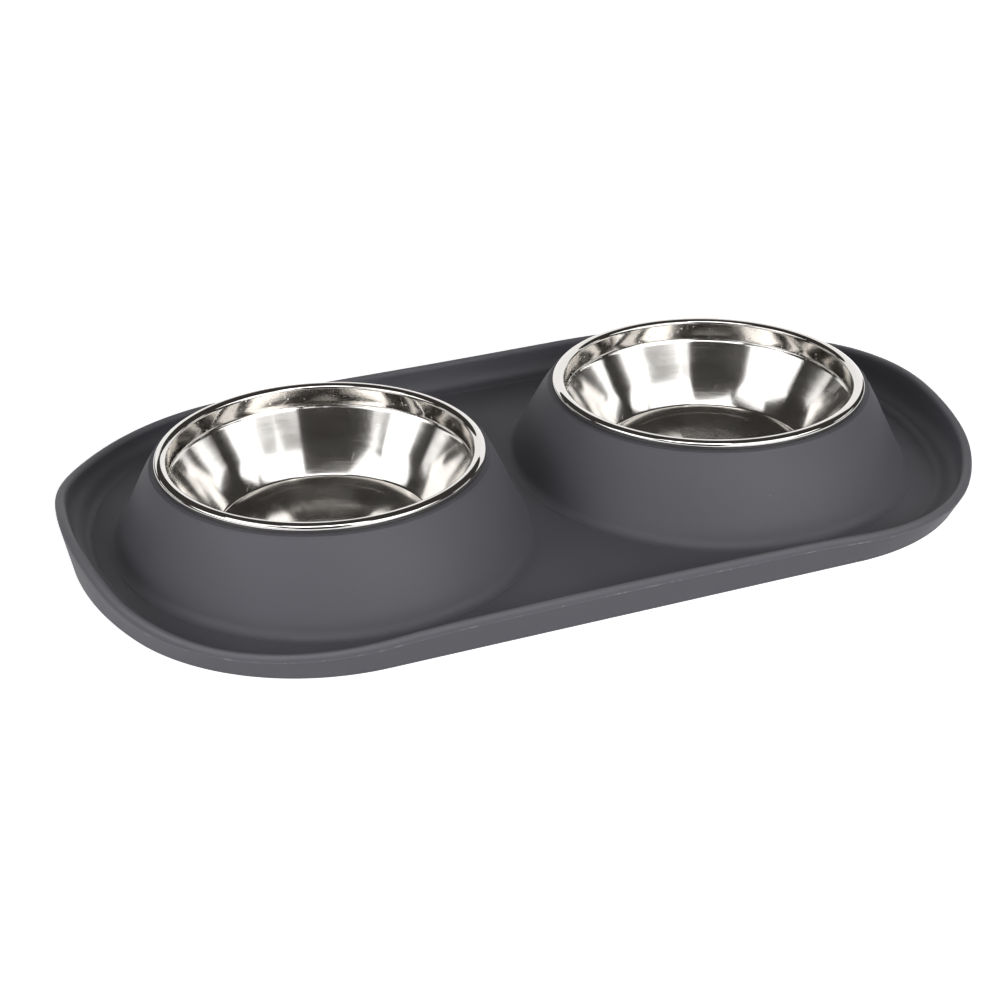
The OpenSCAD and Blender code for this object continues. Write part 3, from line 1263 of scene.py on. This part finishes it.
@dataclass(frozen=True)
class Studio:
    """White table, dark room, softboxes and the camera.

    The table's white is its colour, and its glow is what the camera and
    reflections see of it besides. Room is the world's level in reflections
    and fill its level on surfaces. A softbox's numbers are its place (towards
    the camera, left, up), its yaw, pitch and roll, its width and depth, and
    its level.
    """

    camera: PhotoCamera = PhotoCamera()
    view_azimuth: float = -157.0
    table_size: float = 8.0
    table_z: float = -0.0002
    table_roughness: float = 0.9
    white: float = 0.8
    glow: float = 0.8
    room: float = 0.05
    fill: float = 0.010
    room_tint: Triple = (1.0, 0.93, 0.87)
    softboxes: Tuple[Softbox, ...] = (
        Softbox("top", 0.40, 0.05, 1.20, 0, 0, 0, 0.70, 0.40, 5.0),
        Softbox("box_left", 0.54, 0.82, 0.94, 57, -26, 8, 0.43, 1.39, 2.6),
        Softbox("box_right", 0.68, -0.96, 1.35, 20, 23, 33, 1.34, 0.67, 2.6),
        Softbox("side_left", 0.32, 1.31, 0.87, 92, 11, -32, 0.78, 0.70, 2.6),
        Softbox("side_right", 0.54, -1.50, 1.03, -87, 89, -63, 0.56, 1.24, 2.6),
        Softbox("low_left", -0.86, 1.83, 0.65, 78, 88, -11, 1.40, 0.18, 1.8),
        Softbox("low_right", -0.61, -1.31, 0.56, -55, 89, 16, 1.09, 0.15, 2.4),
        Softbox("card_left", 0.80, 0.56, 0.31, 76, 3, -8, 1.01, 0.46, 3.0),
        Softbox("card_right", 0.76, -0.61, 0.27, -29, 23, -38, 0.80, 0.68, 2.8),
        Softbox("backdrop", -1.48, 0.55, 0.12, -132, 37, 19, 2.65, 1.35, 1.2),
        Softbox("key_right", 0.91, -1.08, 0.75, -50, 62, 0, 0.8, 0.6, 5.4, False),
        Softbox("key_left", 0.91, 1.08, 0.75, 50, 62, 0, 0.8, 0.6, 3.9, False),
        Softbox("fill_front", 1.38, -0.20, 0.75, -8, 62, 0, 0.8, 0.6, 2.7, False),
        Softbox("fill_right", 0.25, -1.39, 0.75, -80, 62, 0, 0.8, 0.6, 1.4, False),
        Softbox("fill_left", 1.02, 1.22, 0.20, 50, 83, 0, 0.8, 0.25, 3.6, False),
        Softbox("fill_low", 1.57, 0.0, 0.28, 0, 80, 0, 1.6, 0.25, 3.2, False),
        Softbox("fill_back", -1.40, 0.0, 0.40, 180, 74, 0, 2.0, 0.40, 2.6, False),
    )

    def table(self) -> None:
        """White table that keeps the object's shadow."""
        deselect_all()
        bpy.ops.mesh.primitive_plane_add(size=self.table_size, location=(0, 0, self.table_z))
        piece = bpy.context.active_object
        piece.name = "table"
        made, w, shader = new_material("white_table")
        path = w.node("ShaderNodeLightPath")
        through = w.math("MAXIMUM", path.outputs["Is Glossy Ray"],
                         path.outputs["Is Transmission Ray"])
        seen = w.math("MAXIMUM", path.outputs["Is Camera Ray"], through)
        white = (self.white, self.white, self.white, 1)
        w.feed(shader, Base_Color=white, Roughness=self.table_roughness, Specular_IOR_Level=0.0,
               Emission_Color=(1, 1, 1, 1), Emission_Strength=w.math("MULTIPLY", seen, self.glow))
        piece.data.materials.append(made)

    def surroundings(self) -> None:
        """World: white to the camera, a dark room in reflections, a soft fill elsewhere."""
        world = bpy.data.worlds.new("studio_room")
        bpy.context.scene.world = world
        world.use_nodes = True
        w = Wiring(world.node_tree)
        back = world.node_tree.nodes["Background"]
        path = w.node("ShaderNodeLightPath")
        level = w.add_up(path.outputs["Is Camera Ray"],
                         (path.outputs["Is Glossy Ray"], self.room),
                         (path.outputs["Is Diffuse Ray"], self.fill))
        tint = w.mix(path.outputs["Is Glossy Ray"], (1, 1, 1, 1), (*self.room_tint, 1))
        w.feed(back, Color=tint, Strength=level)

    def build(self) -> None:
        """Sets up the whole studio."""
        self.table()
        self.surroundings()
        for box in self.softboxes:
            box.place(self.view_azimuth)
        self.camera.build()
        bpy.context.scene.view_settings.view_transform = "Standard"


# ---- assembly


def dress(piece: Object, material: Material, body: str, node: str) -> None:
    """Gives a piece its material, its body and the node that it stands for.

    Args:
        piece: the piece.
        material: its finish.
        body: the body that it rides on.
        node: the node that it replaces.
    """
    piece.data.materials.clear()
    piece.data.materials.append(material)
    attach(piece, body)
    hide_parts(node)
    LOG.info("%s: %d faces on %s", piece.name, len(piece.data.polygons), body)


def main() -> None:
    """Builds the pieces in order."""
    logging.basicConfig(level=logging.INFO, format="%(name)s %(message)s")
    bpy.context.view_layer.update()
    dust_group()
    grain_group()
    Studio().build()
    silicone = SiliconeFinish().material()
    dress(SiliconeBase().build(), silicone, "base", "silicone_base")
    for side in Side:
        name = side.name.lower() + "_bowl"
        finish = SteelFinish(side.value * BOWL_X * MM, "steel_" + side.name.lower())
        dress(SteelBowl(side).build(), finish.material(), name, name)


if __name__ == "__main__":
    main()
